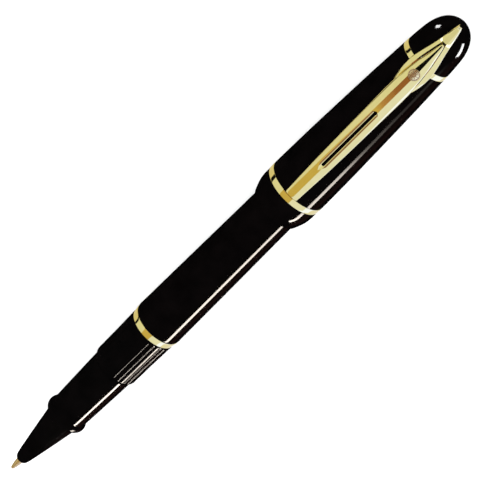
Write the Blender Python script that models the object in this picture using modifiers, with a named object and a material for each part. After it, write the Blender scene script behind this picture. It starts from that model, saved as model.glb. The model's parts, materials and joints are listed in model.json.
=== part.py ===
"""Rollerball pen with its cap posted on the barrel's tail.

World frame: metres, +X along the pen from the writing point to the crown, +Z up through the
clip. A distance called "station" is measured in millimetres along the pen from the front of
the writing ball. The pen lies on the lowest flat of its cap band, which is at z = 0.
"""

import math

import bmesh
import bpy
from mathutils import Matrix, Vector

MM = 0.001

# Overall
PEN_LENGTH = 150.0
OUTER_SIDES = 36
INNER_SIDES = 24
TIP_SIDES = 16
SHARP_ANGLE = math.radians(32.0)

# Stations of the joints between the visible pieces
NOSE_MOUTH = 3.4
COLLAR_FRONT = 37.5
COLLAR_REAR = 51.2
SECTION_RING_FRONT = 51.26
SECTION_RING_REAR = 52.88
BARREL_FRONT = 53.0
BARREL_REAR = 128.0
CAP_MOUTH = 92.15
CAP_BAND_FRONT = 97.97
CAP_BAND_REAR = 99.47
CAP_TUBE_FRONT = 99.55
CAP_TUBE_REAR = 138.2
CROWN_RING_FRONT = 138.29
CROWN_RING_REAR = 139.61
CROWN_FRONT = 139.69

# Radii of the visible pieces
SECTION_RING_RADIUS = 5.60
SECTION_RING_REAR_RADIUS = 5.76
CAP_BAND_RADIUS = 6.81
CROWN_RING_FRONT_RADIUS = 5.53
CROWN_RING_REAR_RADIUS = 5.46
TRIM_CHAMFER = 0.12

# Grip collar
FLUTES = 26
FLUTE_SIDES = 78
FLUTE_DEPTH = 0.11

# Section screw thread
THREAD_CREST = 4.60
THREAD_ROOT = 4.36
THREAD_PITCH = 1.0
THREAD_START = 53.6
THREAD_TURNS = 7
INSERT_BORE = 4.70

# Refill
BALL_RADIUS = 0.35
SOCKET_RADIUS = 0.38
REFILL_RADIUS = 3.0
REFILL_BORE = 2.6
REFILL_REAR = 111.0
TENON_RADIUS = 2.56
WICK_RADIUS = 0.22
RESERVOIR_RADIUS = 2.5

# Return spring
SPRING_WIRE = 0.25
SPRING_RADIUS = 2.55
SPRING_FRONT = 111.3
SPRING_REAR = 124.2
SPRING_TURNS = 5
SPRING_POINTS_PER_TURN = 12

# Clip
PIVOT_STATION = 141.0
PIVOT_HEIGHT = 6.42
PIN_RADIUS = 0.28
PIN_HALF_LENGTH = 1.85
PIN_CLEARANCE = 0.05
CLIP_CREST_RADII = [
    (99.88, 4.0),
    (112.0, 3.8),
    (127.0, 2.9),
    (138.0, 2.7),
    (139.4, 2.35),
    (141.0, 1.8),
    (143.0, 1.15),
    (145.75, 0.6),
]
ARC_POINTS = 9
SADDLE_GAP = 0.12
FOOT_FRONT = 133.4
FOOT_REAR = 135.4
FOOT_HALF_WIDTH = 0.7
FOOT_BOTTOM = 5.3
WINDOW_MARGIN = 0.2
SLOT_FRONT = 110.0
SLOT_REAR = 126.5
SLOT_HALF_WIDTH = 0.34
SLOT_CORNER = 0.3
GROOVE_DEPTH = 0.487
GROOVE_HALF_WIDTH = 0.8
GROOVE_SLOPE = 0.727
MEDALLION_STATION = 137.8
MEDALLION_RADIUS = 1.22
MEDALLION_BOTTOM = 7.68
MEDALLION_TOP = 8.06

# The pen rests on a flat of the cap band, so the axis is one apothem above the ground.
AXIS_HEIGHT = CAP_BAND_RADIUS * math.cos(math.pi / OUTER_SIDES)

# Outline of the closed cap from its band to the crown's apex, as (station, radius)
CAP_TUBE_OUTLINE = [
    (99.55, 6.80),
    (103.66, 6.74),
    (112.61, 6.53),
    (121.42, 6.23),
    (130.10, 5.91),
    (136.53, 5.60),
    (138.20, 5.53),
]
CROWN_OUTLINE = [
    (139.69, 5.44),
    (141.2, 5.35),
    (142.9, 5.20),
    (144.3, 5.04),
    (145.6, 4.75),
    (146.7, 4.35),
    (147.7, 3.82),
    (148.6, 3.12),
    (149.3, 2.25),
    (149.8, 1.20),
    (150.0, 0.0),
]

# Clip arm: (station, half width, crest height, underside height), heights from the pen's axis
ARM_SECTIONS = [
    (99.88, 1.20, 7.70, 7.20),
    (100.03, 1.42, 7.90, 7.04),
    (100.45, 1.50, 8.00, 6.98),
    (103.00, 1.60, 8.15, 6.98),
    (104.20, 1.65, 8.23, 7.20),
    (106.00, 1.71, 8.33, 7.42),
    (109.00, 1.82, 8.45, 7.50),
    (113.50, 1.91, 8.54, 7.57),
    (118.00, 1.99, 8.58, 7.60),
    (122.50, 2.05, 8.57, 7.57),
    (127.00, 2.11, 8.52, 7.50),
    (131.00, 2.17, 8.42, 7.35),
    (133.20, 2.17, 8.36, 7.05),
    (134.60, 2.08, 8.31, 6.80),
    (136.00, 1.88, 8.25, 6.55),
    (137.50, 1.76, 8.13, 6.35),
    (139.00, 1.60, 8.00, 6.12),
    (140.00, 1.49, 7.87, 6.04),
    (141.00, 1.37, 7.70, 6.02),
    (142.00, 1.19, 7.49, 6.03),
    (143.00, 0.99, 7.25, 6.05),
    (144.00, 0.78, 6.97, 6.04),
    (144.80, 0.60, 6.71, 6.00),
    (145.40, 0.44, 6.49, 5.98),
    (145.75, 0.26, 6.34, 6.02),
]

# Clip head: (station, half width, channel half width, wing height, channel floor height)
HEAD_SECTIONS = [
    (132.90, 1.75, 1.45, 6.12, 6.16),
    (133.40, 2.06, 1.60, 6.20, 6.24),
    (134.30, 2.36, 1.85, 6.32, 6.30),
    (135.20, 2.54, 2.00, 6.52, 6.28),
    (136.30, 2.68, 1.98, 6.78, 6.20),
    (137.50, 2.78, 1.88, 6.96, 6.05),
    (139.00, 2.80, 1.72, 7.02, 5.90),
    (140.00, 2.70, 1.61, 6.98, 5.86),
    (141.00, 2.52, 1.49, 6.90, 5.83),
    (142.00, 2.30, 1.31, 6.77, 5.80),
    (143.00, 2.06, 1.11, 6.60, 5.74),
    (144.00, 1.80, 0.90, 6.38, 5.64),
    (144.80, 1.60, 0.73, 6.18, 5.54),
    (145.70, 1.42, 0.50, 6.02, 5.42),
    (146.00, 1.36, 0.42, 6.10, 6.16),
    (146.80, 1.20, 0.40, 5.72, 5.80),
    (147.60, 1.04, 0.38, 5.22, 5.31),
    (148.40, 0.88, 0.34, 4.62, 4.71),
    (149.10, 0.72, 0.28, 3.98, 4.06),
    (149.60, 0.54, 0.20, 3.42, 3.49),
    (149.86, 0.34, 0.12, 3.02, 3.07),
]
WING_FALL = 0.42
WING_SWELL = 0.06
NOSE_DEPTH = 1.15

COLOURS = {
    "lacquer": ((0.008, 0.008, 0.009), 0.10, 0.0),
    "resin": ((0.010, 0.010, 0.011), 0.16, 0.0),
    "gold": ((0.86, 0.66, 0.27), 0.18, 1.0),
    "brass": ((0.72, 0.53, 0.24), 0.32, 1.0),
    "steel": ((0.60, 0.60, 0.62), 0.28, 1.0),
    "liner": ((0.035, 0.035, 0.038), 0.45, 0.0),
    "refill": ((0.20, 0.21, 0.23), 0.35, 0.0),
    "fibre": ((0.02, 0.03, 0.10), 0.90, 0.0),
    "ball": ((0.35, 0.35, 0.37), 0.12, 1.0),
}

for old in list(bpy.data.objects):
    bpy.data.objects.remove(old, do_unlink=True)

pen = bpy.data.collections.new("rollerball_pen")
tools = bpy.data.collections.new("cutters")
bpy.context.scene.collection.children.link(pen)
bpy.context.scene.collection.children.link(tools)
tools.hide_render = True


def place(station, y, height):
    """World position of a point given by its station, side offset and height over the axis."""
    return Vector(((station - PEN_LENGTH / 2) * MM, y * MM, (AXIS_HEIGHT + height) * MM))


def paint(obj, finish):
    colour, roughness, metallic = COLOURS[finish]
    material = bpy.data.materials.new(obj.name)
    material.use_nodes = True
    shader = material.node_tree.nodes["Principled BSDF"]
    shader.inputs["Base Color"].default_value = (*colour, 1.0)
    shader.inputs["Roughness"].default_value = roughness
    shader.inputs["Metallic"].default_value = metallic
    obj.data.materials.clear()
    obj.data.materials.append(material)


def mesh_object(name, bm, collection):
    mesh = bpy.data.meshes.new(name)
    bm.to_mesh(mesh)
    bm.free()
    obj = bpy.data.objects.new(name, mesh)
    collection.objects.link(obj)
    return obj


def settle(obj, finish):
    """Applies the modifiers, then gives the piece its shading and its own material."""
    bpy.context.view_layer.update()
    graph = bpy.context.evaluated_depsgraph_get()
    mesh = bpy.data.meshes.new_from_object(obj.evaluated_get(graph))
    mesh.name = obj.name
    obj.modifiers.clear()
    obj.data = mesh
    mesh.shade_smooth()
    mesh.set_sharp_from_angle(angle=SHARP_ANGLE)
    paint(obj, finish)
    return obj


def lathe(name, outline, sides, collection, closed=True, phase=0.5):
    """Turns (station, radius) points about the pen's axis; the outer side runs rear to front."""
    bm = bmesh.new()
    verts = [bm.verts.new((radius * MM, 0.0, station * MM)) for station, radius in outline]
    for start, end in zip(verts, verts[1:]):
        bm.edges.new((start, end))
    if closed:
        bm.edges.new((verts[-1], verts[0]))
    obj = mesh_object(name, bm, collection)
    screw = obj.modifiers.new("turn", "SCREW")
    screw.axis = "Z"
    screw.angle = 2 * math.pi
    screw.steps = sides
    screw.render_steps = sides
    screw.use_merge_vertices = True
    screw.merge_threshold = 0.00001
    obj.location = place(0.0, 0.0, 0.0)
    obj.rotation_mode = "ZYX"
    obj.rotation_euler = (0.0, math.pi / 2, phase * 2 * math.pi / sides)
    return obj


def turned(name, outline, finish, sides=OUTER_SIDES, closed=True):
    return settle(lathe(name, outline, sides, pen, closed), finish)


def loft(name, loops, collection, origin, ring=False):
    """Joins equal loops of world points in turn, and caps the ends unless they close a ring."""
    bm = bmesh.new()
    rows = [[bm.verts.new(point - origin) for point in loop] for loop in loops]
    pairs = list(zip(rows, rows[1:] + rows[:1])) if ring else list(zip(rows, rows[1:]))
    count = len(rows[0])
    for row, following in pairs:
        for i in range(count):
            j = (i + 1) % count
            bm.faces.new((row[i], row[j], following[j], following[i]))
    if not ring:
        bm.faces.new(rows[0][::-1])
        bm.faces.new(rows[-1])
    bmesh.ops.recalc_face_normals(bm, faces=bm.faces)
    obj = mesh_object(name, bm, collection)
    obj.location = origin
    return obj


def combine(obj, other, operation):
    other.hide_render = True
    other.display_type = "WIRE"
    boolean = obj.modifiers.new(other.name, "BOOLEAN")
    boolean.operation = operation
    boolean.solver = "EXACT"
    boolean.object = other


def box(name, stations, sides, heights):
    bm = bmesh.new()
    bmesh.ops.create_cube(bm, size=1.0)
    low = place(stations[0], sides[0], heights[0])
    high = place(stations[1], sides[1], heights[1])
    size = high - low
    middle = (high + low) / 2
    bmesh.ops.transform(
        bm, matrix=Matrix.Translation(middle) @ Matrix.Diagonal((*size, 1.0)), verts=bm.verts
    )
    return mesh_object(name, bm, tools)


def cylinder(name, centre, radius, length, axis, sides, collection):
    bm = bmesh.new()
    bmesh.ops.create_cone(
        bm,
        cap_ends=True,
        segments=sides,
        radius1=radius * MM,
        radius2=radius * MM,
        depth=length * MM,
    )
    obj = mesh_object(name, bm, collection)
    obj.location = centre
    if axis == "Y":
        obj.rotation_euler = (math.pi / 2, 0.0, 0.0)
    return obj


def radius_at(station):
    """Radius of the cap's outside at a station behind its band."""
    return read_table(CAP_TUBE_OUTLINE + CROWN_OUTLINE, station)


def read_table(rows, station):
    """Value at a station from rows of (station, value)."""
    for (s0, v0), (s1, v1) in zip(rows, rows[1:]):
        if s0 <= station <= s1:
            return v0 + (v1 - v0) * (station - s0) / (s1 - s0)
    raise ValueError(station)


def trim_ring(front, rear, front_radius, rear_radius, bore):
    """Outline of a thin ring with its outer edges broken."""
    return [
        (rear, rear_radius - TRIM_CHAMFER),
        (rear - TRIM_CHAMFER, rear_radius),
        (front + TRIM_CHAMFER, front_radius),
        (front, front_radius - TRIM_CHAMFER),
        (front, bore),
        (rear, bore),
    ]


# ---- refill -------------------------------------------------------------------------------

bm = bmesh.new()
bmesh.ops.create_uvsphere(bm, u_segments=TIP_SIDES, v_segments=8, radius=BALL_RADIUS * MM)
ball = mesh_object("writing_ball", bm, pen)
ball.location = place(BALL_RADIUS, 0.0, 0.0)
settle(ball, "ball")

turned(
    "point_cone",
    [
        (8.2, 0.85),
        (4.4, 0.85),
        (NOSE_MOUTH, 0.83),
        (2.2, 0.75),
        (1.3, 0.63),
        (0.7, 0.50),
        (0.22, 0.40),
        (0.22, 0.357),
        (BALL_RADIUS, SOCKET_RADIUS),
        (0.55, 0.33),
        (0.70, 0.18),
        (1.4, 0.18),
        (1.5, 0.30),
        (8.2, 0.30),
    ],
    "gold",
    TIP_SIDES,
)

turned(
    "refill_nose",
    [
        (21.0, TENON_RADIUS),
        (17.95, TENON_RADIUS),
        (17.9, REFILL_RADIUS),
        (16.1, 1.25),
        (5.6, 1.25),
        (5.45, 1.12),
        (5.45, 0.88),
        (8.3, 0.88),
        (8.3, 0.32),
        (21.0, 0.32),
    ],
    "refill",
    INNER_SIDES,
)

turned(
    "ink_wick",
    [(23.0, 0.0), (23.0, WICK_RADIUS), (1.6, WICK_RADIUS), (1.6, 0.0)],
    "fibre",
    12,
    closed=False,
)

turned(
    "ink_reservoir",
    [(104.0, 0.0), (104.0, RESERVOIR_RADIUS), (23.15, RESERVOIR_RADIUS), (23.15, 0.0)],
    "fibre",
    INNER_SIDES,
    closed=False,
)

turned(
    "refill_tube",
    [
        (108.5, REFILL_RADIUS - 0.1),
        (108.4, REFILL_RADIUS),
        (18.1, REFILL_RADIUS),
        (18.0, REFILL_RADIUS - 0.1),
        (18.0, REFILL_BORE),
        (108.5, REFILL_BORE),
    ],
    "refill",
    INNER_SIDES,
)

turned(
    "refill_plug",
    [
        (REFILL_REAR, 1.6),
        (REFILL_REAR - 0.3, 2.2),
        (109.9, 2.2),
        (109.7, REFILL_RADIUS),
        (108.6, REFILL_RADIUS),
        (108.55, TENON_RADIUS),
        (105.0, TENON_RADIUS),
        (105.0, 0.4),
        (REFILL_REAR, 0.4),
    ],
    "liner",
    INNER_SIDES,
)

# ---- grip section -------------------------------------------------------------------------

turned(
    "grip_section",
    [
        (52.85, 4.35),
        (37.45, 4.35),
        (37.4, 4.97),
        (33.0, 4.86),
        (29.35, 4.74),
        (24.2, 4.57),
        (21.6, 4.46),
        (21.3, 4.66),
        (20.9, 4.92),
        (20.35, 5.0),
        (19.8, 4.86),
        (19.3, 4.44),
        (18.9, 3.94),
        (16.4, 3.56),
        (11.2, 2.77),
        (6.0, 1.94),
        (4.9, 1.76),
        (4.2, 1.60),
        (3.7, 1.38),
        (NOSE_MOUTH, 1.08),
        (NOSE_MOUTH, 0.93),
        (5.0, 0.93),
        (5.3, 1.35),
        (15.9, 1.35),
        (17.7, 3.08),
        (46.9, 3.08),
        (46.9, 3.90),
        (52.85, 3.90),
    ],
    "resin",
)

collar_outline = [
    (COLLAR_REAR, 5.52, 0.0),
    (COLLAR_REAR - 0.25, 5.60, 0.4),
    (COLLAR_REAR - 1.0, 5.58, 1.0),
    (44.5, 5.46, 1.0),
    (39.2, 5.42, 1.0),
    (38.25, 5.39, 0.4),
    (COLLAR_FRONT, 5.02, 0.0),
    (COLLAR_FRONT, 4.40, 0.0),
    (COLLAR_REAR, 4.40, 0.0),
]
collar_loops = []
for step in range(FLUTE_SIDES):
    turn = 2 * math.pi * (step + 0.5) / FLUTE_SIDES
    hollow = FLUTE_DEPTH * (0.5 - 0.5 * math.cos(FLUTES * turn))
    loop = []
    for station, radius, share in collar_outline:
        r = radius - hollow * share
        loop.append(place(station, r * math.sin(turn), r * math.cos(turn)))
    collar_loops.append(loop)
collar = loft("fluted_collar", collar_loops, pen, place(0.0, 0.0, 0.0), ring=True)
settle(collar, "resin")

turned(
    "section_ring",
    trim_ring(
        SECTION_RING_FRONT, SECTION_RING_REAR, SECTION_RING_RADIUS, SECTION_RING_REAR_RADIUS, 4.40
    ),
    "gold",
)

thread_outline = [(62.0, 4.20), (61.2, THREAD_ROOT)]
for turn in reversed(range(THREAD_TURNS)):
    station = THREAD_START + turn * THREAD_PITCH
    thread_outline += [
        (station + 0.70 * THREAD_PITCH, THREAD_ROOT),
        (station + 0.45 * THREAD_PITCH, THREAD_CREST),
        (station + 0.25 * THREAD_PITCH, THREAD_CREST),
        (station, THREAD_ROOT),
    ]
thread_outline += [
    (52.92, THREAD_ROOT),
    (52.92, 3.86),
    (47.0, 3.86),
    (47.0, 3.12),
    (62.0, 3.12),
]
turned("section_thread", thread_outline, "brass", INNER_SIDES)

# ---- barrel -------------------------------------------------------------------------------

turned(
    "barrel_shell",
    [
        (BARREL_REAR, 4.15),
        (127.75, 4.42),
        (127.0, 4.60),
        (120.0, 4.75),
        (110.0, 4.95),
        (100.0, 5.13),
        (91.7, 5.28),
        (85.3, 5.36),
        (76.0, 5.50),
        (66.5, 5.63),
        (56.8, 5.76),
        (53.5, 5.81),
        (53.15, 5.79),
        (BARREL_FRONT, 5.70),
        (BARREL_FRONT, 5.10),
        (63.3, 5.10),
        (63.3, 4.55),
        (106.0, 4.25),
        (121.0, 3.90),
        (BARREL_REAR, 3.90),
    ],
    "lacquer",
)

turned(
    "barrel_thread_insert",
    [
        (63.1, 5.05),
        (53.3, 5.05),
        (53.3, INSERT_BORE + 0.1),
        (53.5, INSERT_BORE),
        (63.1, INSERT_BORE),
    ],
    "brass",
    INNER_SIDES,
)

turned(
    "tail_plug",
    [
        (BARREL_REAR + 0.05, 0.0),
        (BARREL_REAR + 0.05, 3.3),
        (BARREL_REAR - 0.2, 3.82),
        (121.6, 3.82),
        (121.6, 3.3),
        (122.0, 3.1),
        (124.5, 3.1),
        (124.5, 0.0),
    ],
    "liner",
    INNER_SIDES,
    closed=False,
)

curve = bpy.data.curves.new("return_spring", "CURVE")
curve.dimensions = "3D"
curve.bevel_depth = SPRING_WIRE * MM
curve.bevel_resolution = 2
curve.use_fill_caps = True
coil = curve.splines.new("POLY")
coil_points = SPRING_TURNS * SPRING_POINTS_PER_TURN
coil.points.add(coil_points)
for index, point in enumerate(coil.points):
    turn = 2 * math.pi * index / SPRING_POINTS_PER_TURN
    # The end turns lie closer together than the working turns.
    share = index / coil_points
    along = share - 0.05 * math.sin(2 * math.pi * share)
    station = SPRING_FRONT + (SPRING_REAR - SPRING_FRONT) * along
    x = station * MM
    point.co = (x, SPRING_RADIUS * MM * math.cos(turn), SPRING_RADIUS * MM * math.sin(turn), 1.0)
spring = bpy.data.objects.new("return_spring", curve)
pen.objects.link(spring)
spring.location = place(0.0, 0.0, 0.0)
paint(spring, "steel")

# ---- cap ----------------------------------------------------------------------------------

turned(
    "cap_lip",
    [
        (104.0, 6.18),
        (97.9, 6.20),
        (97.9, 6.755),
        (96.9, 6.76),
        (96.0, 6.74),
        (95.2, 6.67),
        (94.4, 6.51),
        (93.7, 6.30),
        (93.1, 6.09),
        (92.6, 5.91),
        (92.3, 5.80),
        (CAP_MOUTH, 5.74),
        (CAP_MOUTH, 5.70),
        (92.35, 5.66),
        (104.0, 5.66),
    ],
    "lacquer",
)

turned(
    "cap_band",
    trim_ring(CAP_BAND_FRONT, CAP_BAND_REAR, CAP_BAND_RADIUS, CAP_BAND_RADIUS, 6.24),
    "gold",
)

cap_tube = lathe(
    "cap_tube",
    CAP_TUBE_OUTLINE[::-1]
    + [
        (CAP_TUBE_FRONT, 6.24),
        (104.2, 6.24),
        (104.2, 5.95),
        (112.0, 5.93),
        (130.0, 5.33),
        (136.1, 5.05),
        (136.1, 3.70),
        (CAP_TUBE_REAR, 3.70),
    ],
    OUTER_SIDES,
    pen,
)
window = box(
    "window_cutter",
    (FOOT_FRONT - WINDOW_MARGIN, FOOT_REAR + WINDOW_MARGIN),
    (-FOOT_HALF_WIDTH - WINDOW_MARGIN, FOOT_HALF_WIDTH + WINDOW_MARGIN),
    (4.0, 7.0),
)
combine(cap_tube, window, "DIFFERENCE")
settle(cap_tube, "lacquer")

turned(
    "inner_cap",
    [
        (146.1, 0.0),
        (146.1, 2.7),
        (145.8, 3.15),
        (145.0, 3.60),
        (136.0, 3.60),
        (135.9, 4.92),
        (130.0, 5.20),
        (112.0, 5.82),
        (104.6, 5.86),
        (104.6, 5.50),
        (107.4, 5.08),
        (118.4, 5.08),
        (119.0, 4.92),
        (119.6, 5.08),
        (128.8, 4.80),
        (131.5, 4.25),
        (135.4, 4.10),
        (136.6, 3.00),
        (145.2, 3.00),
        (145.2, 0.0),
    ],
    "liner",
    INNER_SIDES,
    closed=False,
)

turned(
    "crown_ring",
    trim_ring(
        CROWN_RING_FRONT,
        CROWN_RING_REAR,
        CROWN_RING_FRONT_RADIUS,
        CROWN_RING_REAR_RADIUS,
        3.70,
    ),
    "gold",
)

turned(
    "crown",
    CROWN_OUTLINE[::-1] + [(CROWN_FRONT, 4.12), (145.2, 4.12), (146.4, 2.9), (146.4, 0.0)],
    "lacquer",
    closed=False,
)

turned(
    "crown_bush",
    [(145.0, 3.85), (144.8, 4.06), (139.9, 4.06), (139.9, 3.68), (145.0, 3.68)],
    "brass",
    INNER_SIDES,
)

# ---- clip ---------------------------------------------------------------------------------

pivot = place(PIVOT_STATION, 0.0, PIVOT_HEIGHT)


def arm_loop(station, half, crest, under):
    """Section of the clip arm: an arched top over straight sides and a flat underside."""
    bend = read_table(CLIP_CREST_RADII, station)
    loop = []
    for i in range(ARC_POINTS):
        y = half * (1 - 2 * i / (ARC_POINTS - 1))
        loop.append(place(station, y, crest - bend + math.sqrt(bend**2 - y**2)))
    side = crest - bend + math.sqrt(bend**2 - half**2)
    corner = min(0.2, (side - under) / 3)
    loop.append(place(station, -half, under + corner))
    loop.append(place(station, -half + 0.15, under))
    loop.append(place(station, half - 0.15, under))
    loop.append(place(station, half, under + corner))
    return loop


def slot_loop(height):
    """Outline of the clip's slot at one height, with its corners cut."""
    ends = ((SLOT_FRONT, 1), (SLOT_REAR, -1))
    points = []
    for end, inward in ends:
        corner = [(end + inward * SLOT_CORNER, SLOT_HALF_WIDTH), (end, 0.4 * SLOT_HALF_WIDTH)]
        mirrored = [(station, -y) for station, y in corner[::-1]]
        points += (corner + mirrored) if inward < 0 else [(t, -y) for t, y in corner + mirrored]
    return [place(station, y, height) for station, y in points]


def groove_loop(station, depth):
    """Section of the shallow groove that the slot runs along."""
    crest = read_table([(row[0], row[2]) for row in ARM_SECTIONS], station)
    rise = GROOVE_HALF_WIDTH * GROOVE_SLOPE
    points = [(0.0, 0.0), (GROOVE_HALF_WIDTH, rise), (-GROOVE_HALF_WIDTH, rise)]
    return [place(station, y, crest - depth + height) for y, height in points]


arm = loft("clip_arm", [arm_loop(*row) for row in ARM_SECTIONS], pen, pivot)
slot_cutter = loft("slot_cutter", [slot_loop(6.8), slot_loop(9.2)], tools, pivot)
combine(arm, slot_cutter, "DIFFERENCE")
groove_cutter = loft(
    "groove_cutter",
    [
        groove_loop(SLOT_FRONT - 1.3, 0.0),
        groove_loop(SLOT_FRONT + 0.4, GROOVE_DEPTH),
        groove_loop(113.5, GROOVE_DEPTH),
        groove_loop(118.0, GROOVE_DEPTH),
        groove_loop(122.5, GROOVE_DEPTH),
        groove_loop(SLOT_REAR - 0.2, GROOVE_DEPTH),
        groove_loop(SLOT_REAR + 0.4, 0.0),
    ],
    tools,
    pivot,
)
combine(arm, groove_cutter, "DIFFERENCE")
pin_bore = cylinder(
    "pin_bore_cutter", pivot, PIN_RADIUS + PIN_CLEARANCE, 6.0, "Y", TIP_SIDES, tools
)
combine(arm, pin_bore, "DIFFERENCE")
seat_height = 2.0
seat = cylinder(
    "medallion_seat_cutter",
    place(MEDALLION_STATION, 0.0, MEDALLION_BOTTOM - 0.04 + seat_height / 2),
    MEDALLION_RADIUS + 0.05,
    seat_height,
    "Z",
    INNER_SIDES,
    tools,
)
combine(arm, seat, "DIFFERENCE")
settle(arm, "gold")


def head_loop(station, half, channel, wing, floor):
    """Section of the clip head: curved underside, sloping wings and a channel for the arm."""
    under = max(radius_at(station) + SADDLE_GAP, floor - NOSE_DEPTH)
    loop = []
    for share in (-1.0, -0.5, 0.0, 0.5, 1.0):
        y = half * share
        loop.append(place(station, y, math.sqrt(under**2 - y**2)))
    edge = wing - WING_FALL * (half - channel)
    middle = (half + channel) / 2
    swell = (wing + edge) / 2 + WING_SWELL
    rim = [(half, edge), (middle, swell), (channel, wing), (channel, floor)]
    loop += [place(station, y, height) for y, height in rim]
    loop.append(place(station, 0.0, floor))
    loop += [place(station, -y, height) for y, height in rim[::-1]]
    return loop


head = loft("clip_head", [head_loop(*row) for row in HEAD_SECTIONS], pen, place(0.0, 0.0, 0.0))
foot = box(
    "foot_union",
    (FOOT_FRONT, FOOT_REAR),
    (-FOOT_HALF_WIDTH, FOOT_HALF_WIDTH),
    (FOOT_BOTTOM, 6.15),
)
combine(head, foot, "UNION")
pin_seat = cylinder(
    "pin_seat_cutter",
    pivot,
    PIN_RADIUS + 0.02,
    2 * PIN_HALF_LENGTH + 0.1,
    "Y",
    TIP_SIDES,
    tools,
)
combine(head, pin_seat, "DIFFERENCE")
settle(head, "gold")

pin = cylinder("clip_pin", pivot, PIN_RADIUS, 2 * PIN_HALF_LENGTH, "Y", TIP_SIDES, pen)
settle(pin, "steel")

medallion = cylinder(
    "clip_medallion",
    place(MEDALLION_STATION, 0.0, (MEDALLION_BOTTOM + MEDALLION_TOP) / 2),
    MEDALLION_RADIUS,
    MEDALLION_TOP - MEDALLION_BOTTOM,
    "Z",
    INNER_SIDES,
    pen,
)
bevel = medallion.modifiers.new("edge", "BEVEL")
bevel.width = 0.08 * MM
bevel.segments = 1
bevel.limit_method = "ANGLE"
settle(medallion, "gold")


def leaf_loop(y):
    """Side outline of the bowed leaf spring under the front of the clip arm."""
    upper = [(142.0, 5.90), (142.7, 5.93), (143.4, 5.93), (144.1, 5.88), (144.7, 5.78)]
    return [place(s, y, h) for s, h in upper] + [place(s, y, h - 0.06) for s, h in upper[::-1]]


leaf = loft("clip_spring", [leaf_loop(-0.45), leaf_loop(0.45)], pen, pivot)
settle(leaf, "steel")
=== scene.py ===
"""Looks of the rollerball pen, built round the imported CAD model.

Sizes on the pen are in millimetres, and the places of lights in metres. A station is the distance
along the pen from the front of its ball.
"""

import json
import math

import bmesh
import bpy
import numpy as np
from mathutils import Matrix, Vector

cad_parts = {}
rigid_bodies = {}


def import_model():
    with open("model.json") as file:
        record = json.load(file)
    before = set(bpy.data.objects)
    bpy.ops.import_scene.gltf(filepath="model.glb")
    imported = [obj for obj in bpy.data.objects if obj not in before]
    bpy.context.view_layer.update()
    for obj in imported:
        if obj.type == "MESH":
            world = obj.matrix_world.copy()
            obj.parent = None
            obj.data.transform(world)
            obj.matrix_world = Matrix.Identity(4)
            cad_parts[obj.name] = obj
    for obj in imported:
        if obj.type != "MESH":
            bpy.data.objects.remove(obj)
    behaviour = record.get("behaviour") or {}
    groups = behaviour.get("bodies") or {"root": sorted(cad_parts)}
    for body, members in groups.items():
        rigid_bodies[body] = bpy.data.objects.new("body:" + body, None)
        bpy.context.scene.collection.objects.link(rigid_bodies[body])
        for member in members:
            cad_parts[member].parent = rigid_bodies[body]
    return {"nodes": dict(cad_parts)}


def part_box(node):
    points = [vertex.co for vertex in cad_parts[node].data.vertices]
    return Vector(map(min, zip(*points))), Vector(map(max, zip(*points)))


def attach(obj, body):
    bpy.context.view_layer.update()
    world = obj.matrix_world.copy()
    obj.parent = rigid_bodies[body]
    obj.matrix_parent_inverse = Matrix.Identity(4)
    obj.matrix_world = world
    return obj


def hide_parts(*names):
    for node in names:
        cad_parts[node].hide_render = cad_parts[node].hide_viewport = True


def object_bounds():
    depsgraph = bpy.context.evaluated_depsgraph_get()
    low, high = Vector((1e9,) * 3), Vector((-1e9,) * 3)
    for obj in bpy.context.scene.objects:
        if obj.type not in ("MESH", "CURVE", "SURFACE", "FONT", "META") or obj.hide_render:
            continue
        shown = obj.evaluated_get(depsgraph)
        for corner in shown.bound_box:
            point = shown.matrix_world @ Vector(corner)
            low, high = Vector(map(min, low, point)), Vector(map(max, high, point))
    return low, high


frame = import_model()
before = [list(corner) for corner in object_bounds()]

MM = 0.001
TIP_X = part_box("writing_ball")[0][0]
BAND_LOW, BAND_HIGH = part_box("cap_band")
AXIS_Z = (BAND_LOW[2] + BAND_HIGH[2]) / 2
# The CAD's outer turned pieces have 36 sides: a circle of this share of their radius fits inside.
FIT = math.cos(math.pi / 36) * 0.9999
# Sides of a turned piece.
STEPS = 144
TINY = 1e-12
# Edges that turn by more than this stay sharp.
SHARP = math.radians(28)


def at(station, y, height):
    """Point in the shared frame: station in mm from the ball, side offset and height over the axis."""
    return Vector((TIP_X + station * MM, y * MM, AXIS_Z + height * MM))


# ---- shape helpers ------------------------------------------------------------------------


def hermite(t):
    """Shares of the start, its slope, the end and its slope, a share t of the way along."""
    start = 2 * t**3 - 3 * t**2 + 1
    leave = t**3 - 2 * t**2 + t
    end = -2 * t**3 + 3 * t**2
    reach = t**3 - t**2
    return start, leave, end, reach


def smooth_table(rows, stations):
    """Rows of (station, values...) read at other stations along a curve that does not overshoot."""
    rows = np.array(rows, float)
    x, y = rows[:, 0], rows[:, 1:]
    steps = np.diff(y, axis=0) / np.diff(x)[:, None]
    before_row, after_row = steps[:-1], steps[1:]
    # A row's slope is the harmonic mean of the two steps beside it, and level at a turning point.
    mean = 2 * before_row * after_row / (before_row + after_row + TINY)
    slopes = np.zeros_like(y)
    slopes[1:-1] = np.where(before_row * after_row > 0, mean, 0.0)
    slopes[0], slopes[-1] = steps[0], steps[-1]
    out = []
    for station in stations:
        i = int(np.clip(np.searchsorted(x, station) - 1, 0, len(x) - 2))
        gap = x[i + 1] - x[i]
        start, leave, end, reach = hermite((station - x[i]) / gap)
        out.append(
            start * y[i] + leave * gap * slopes[i] + end * y[i + 1] + reach * gap * slopes[i + 1]
        )
    return np.array(out)


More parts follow.
